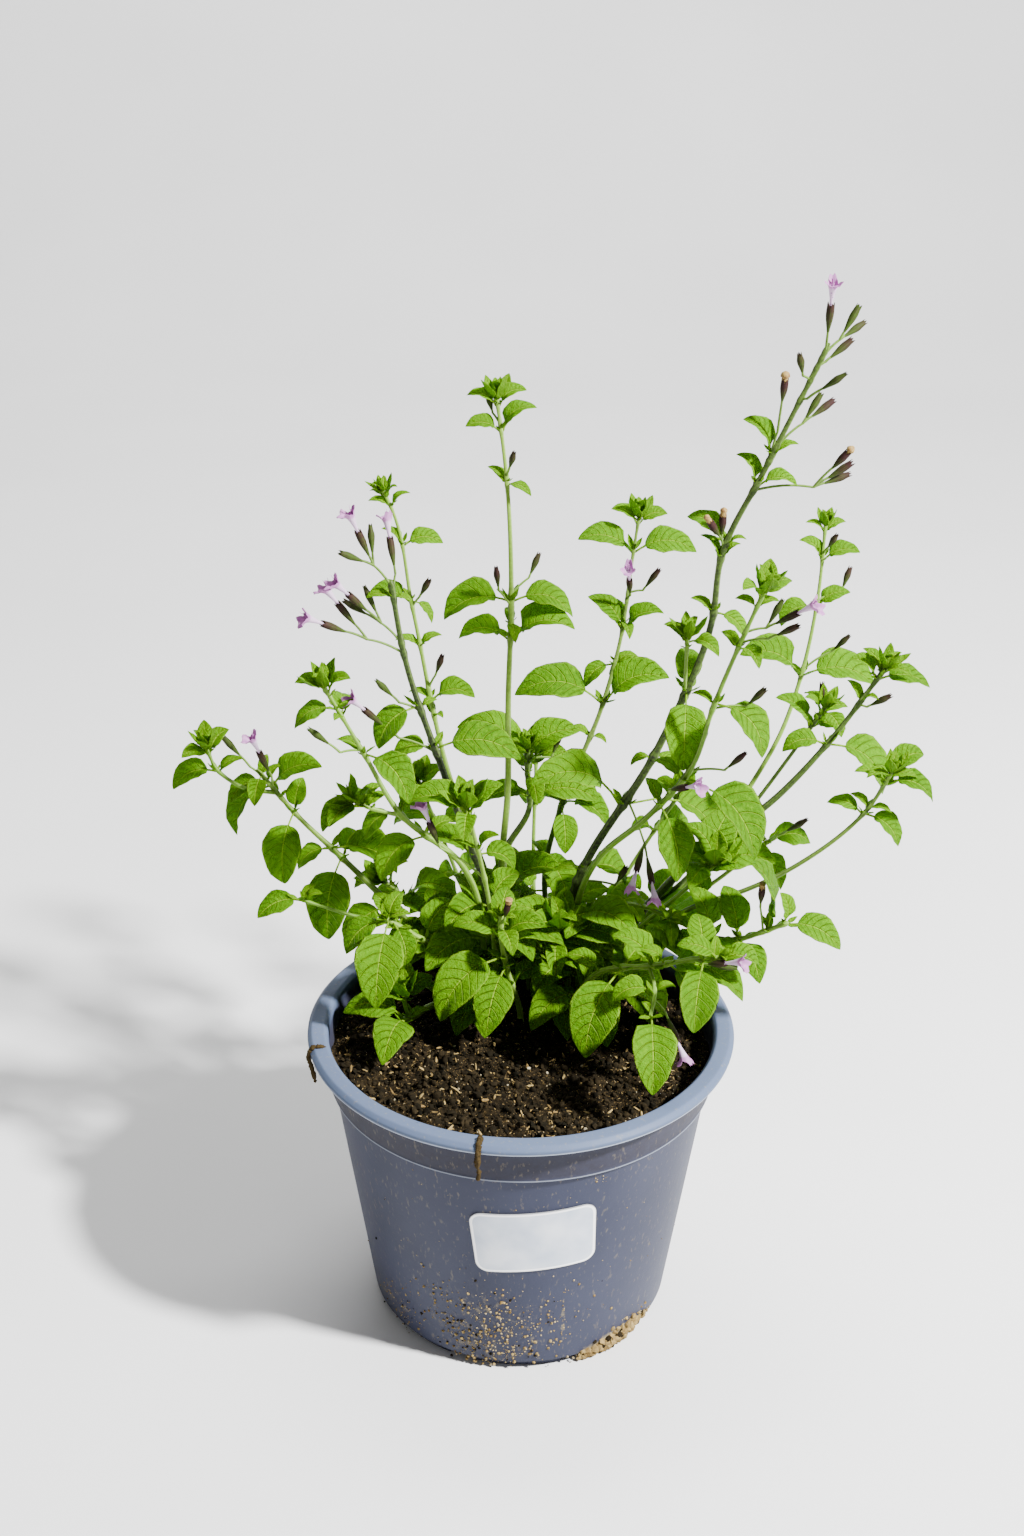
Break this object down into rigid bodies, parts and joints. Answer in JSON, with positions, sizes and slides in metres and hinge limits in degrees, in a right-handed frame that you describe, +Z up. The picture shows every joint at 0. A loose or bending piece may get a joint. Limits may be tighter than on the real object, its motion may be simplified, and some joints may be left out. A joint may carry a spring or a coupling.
{
  "type": "potted calamint plant",
  "caption": "Bushy flowering herb with toothed leaves and small two-lipped blooms, standing in the soil of a tapered plastic nursery pot.",
  "frame": {"origin": "centre of the pot's underside, on the floor's flat disc that the pot stands on", "axes": "+Z up along the pot's axis; -Y towards the side with the label, the front; +X to the right seen from the front"},
  "size_m": [0.2911, 0.2041, 0.4187],
  "materials": {
    "pot_plastic": "injection-moulded blue-grey nursery pot plastic, matt",
    "potting_soil": null,
    "label_film": "off-white coated label stock, bare",
    "leaf_and_stem": null,
    "corolla_petal": null
  },
  "bodies": {
    "root": {"corolla_1": "corolla_petal", "corolla_10": "corolla_petal", "corolla_11": "corolla_petal", "corolla_12": "corolla_petal", "corolla_13": "corolla_petal", "corolla_14": "corolla_petal", "corolla_15": "corolla_petal", "corolla_16": "corolla_petal", "corolla_2": "corolla_petal", "corolla_3": "corolla_petal", "corolla_4": "corolla_petal", "corolla_5": "corolla_petal", "corolla_6": "corolla_petal", "corolla_7": "corolla_petal", "corolla_8": "corolla_petal", "corolla_9": "corolla_petal", "label": "label_film", "pot": "pot_plastic", "shoot_back_centre": "leaf_and_stem", "shoot_back_left": "leaf_and_stem", "shoot_back_right": "leaf_and_stem", "shoot_centre_low": "leaf_and_stem", "shoot_front_centre": "leaf_and_stem", "shoot_front_left": "leaf_and_stem", "shoot_front_right": "leaf_and_stem", "shoot_left_inner": "leaf_and_stem", "shoot_left_low": "leaf_and_stem", "shoot_right_back": "leaf_and_stem", "shoot_right_low": "leaf_and_stem", "shoot_right_middle": "leaf_and_stem", "shoot_right_thin": "leaf_and_stem", "soil": "potting_soil", "stem_centre_back": "leaf_and_stem", "stem_centre_right": "leaf_and_stem", "stem_far_left": "leaf_and_stem", "stem_far_right": "leaf_and_stem", "stem_flowering_left": "leaf_and_stem", "stem_left_light": "leaf_and_stem", "stem_left_middle": "leaf_and_stem", "stem_left_rosette": "leaf_and_stem", "stem_right_dark": "leaf_and_stem", "stem_right_light": "leaf_and_stem", "stem_right_tall_light": "leaf_and_stem", "stem_right_thin": "leaf_and_stem", "stem_tall_centre": "leaf_and_stem", "stem_tall_right": "leaf_and_stem"}
  },
  "joints": []
}
